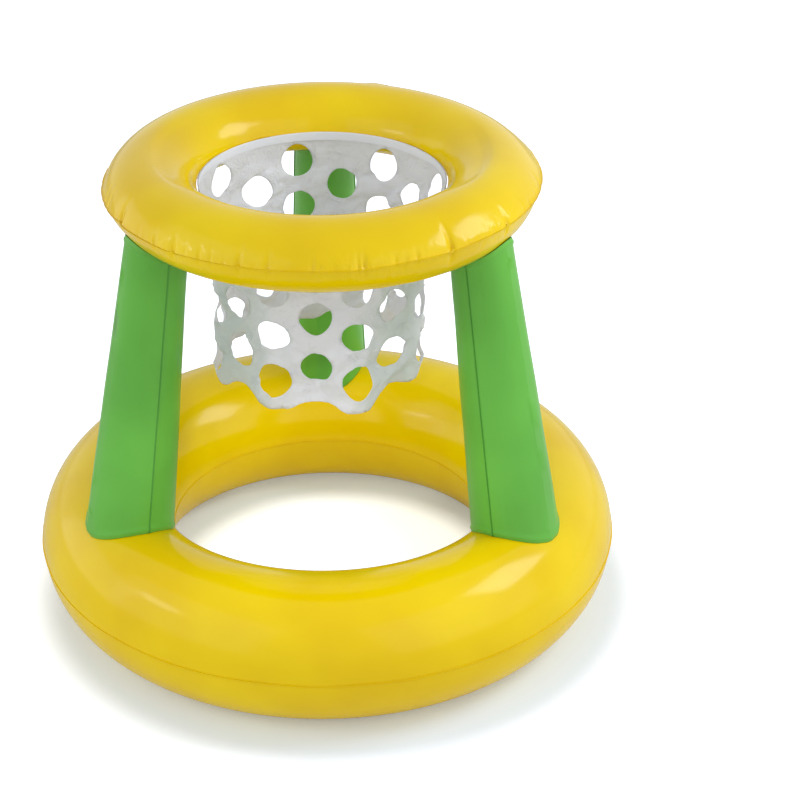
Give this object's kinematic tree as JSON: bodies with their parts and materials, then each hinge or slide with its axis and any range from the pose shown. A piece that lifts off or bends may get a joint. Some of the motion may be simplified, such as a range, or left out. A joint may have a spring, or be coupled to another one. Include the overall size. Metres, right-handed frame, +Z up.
{
  "type": "inflatable poolside basketball hoop",
  "caption": "Floating inflatable basketball hoop: fat base ring, leaning legs, smaller top ring and a hanging perforated vinyl net, with plugged inflation valves.",
  "frame": {"origin": "on the ground, at the centre of the base ring", "axes": "+Z up along the axis of both rings and the net; -Y is the front, towards the two front legs' gap; the rear leg stands on +Y"},
  "size_m": [0.67, 0.67, 0.55],
  "materials": {
    "yellow_vinyl": "glossy inflated vinyl sheet",
    "green_vinyl": "satin inflated vinyl sheet",
    "white_vinyl": "thin white vinyl sheet, slightly translucent",
    "soft_pvc": "moulded soft plastic"
  },
  "bodies": {
    "hoop": {"base_ring_upper_skin": "yellow_vinyl", "base_ring_lower_skin": "yellow_vinyl", "top_ring_upper_skin": "yellow_vinyl", "top_ring_lower_skin": "yellow_vinyl", "rear_leg_outer_panel": "green_vinyl", "rear_leg_inner_panel": "green_vinyl", "left_leg_outer_panel": "green_vinyl", "left_leg_inner_panel": "green_vinyl", "right_leg_outer_panel": "green_vinyl", "right_leg_inner_panel": "green_vinyl", "net_collar": "white_vinyl", "net": "white_vinyl", "base_valve_flange": "soft_pvc", "top_valve_flange": "soft_pvc"},
    "base_valve_stem": {"base_valve_stem": "soft_pvc"},
    "base_valve_plug": {"base_valve_plug": "soft_pvc"},
    "base_valve_flap": {"base_valve_flap": "soft_pvc"},
    "top_valve_stem": {"top_valve_stem": "soft_pvc"},
    "top_valve_plug": {"top_valve_plug": "soft_pvc"},
    "top_valve_flap": {"top_valve_flap": "soft_pvc"}
  },
  "joints": [
    {"name": "base_valve_pull", "type": "slide", "parent": "hoop", "child": "base_valve_stem", "axis": [-0.4588, 0.6553, 0.6001], "range_m": [0, 0.0087]},
    {"name": "base_plug_hinge", "type": "hinge", "parent": "base_valve_stem", "child": "base_valve_plug", "pos_m": [-0.17341, 0.26161, 0.13312], "axis": [-0.3442, 0.4916, -0.7999], "range_deg": [0, 110]},
    {"name": "base_flap_hinge", "type": "hinge", "parent": "base_valve_stem", "child": "base_valve_flap", "pos_m": [-0.16839, 0.2492, 0.12333], "axis": [0.3442, -0.4916, 0.7999], "range_deg": [0, 60], "stiffness_Nm_per_rad": 0.0002},
    {"name": "top_valve_pull", "type": "slide", "parent": "hoop", "child": "top_valve_stem", "axis": [0.1804, 0.6732, 0.7171], "range_m": [0, 0.0087]},
    {"name": "top_plug_hinge", "type": "hinge", "parent": "top_valve_stem", "child": "top_valve_plug", "pos_m": [0.06512, 0.21212, 0.53739], "axis": [0.1856, 0.6927, -0.6969], "range_deg": [0, 110]},
    {"name": "top_flap_hinge", "type": "hinge", "parent": "top_valve_stem", "child": "top_valve_flap", "pos_m": [0.05928, 0.20193, 0.5257], "axis": [-0.1856, -0.6927, 0.6969], "range_deg": [0, 60], "stiffness_Nm_per_rad": 0.0002}
  ]
}
